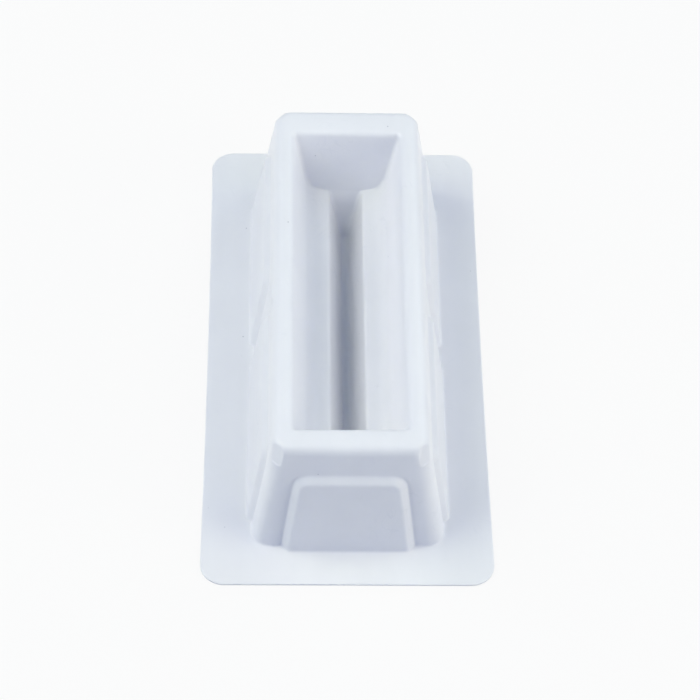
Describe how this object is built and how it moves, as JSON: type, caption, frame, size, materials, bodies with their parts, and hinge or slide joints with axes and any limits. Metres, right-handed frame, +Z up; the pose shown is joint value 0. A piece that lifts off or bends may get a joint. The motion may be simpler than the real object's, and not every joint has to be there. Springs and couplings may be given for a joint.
{
  "type": "reagent reservoir",
  "caption": "White thermoformed tray: a wide flat flange carries a hollow body whose stepped trough narrows to a groove, so pipette tips can be filled in a row.",
  "frame": {"origin": "centre of the flange's underside, on the bench plane", "axes": "+Z up out of the trough, +Y along the trough, +X across it"},
  "size_m": [0.092, 0.178, 0.044],
  "materials": {
    "sheet": "white, faintly blue plastic sheet with a soft semi-gloss"
  },
  "bodies": {
    "root": {"reservoir": "sheet"}
  },
  "joints": []
}
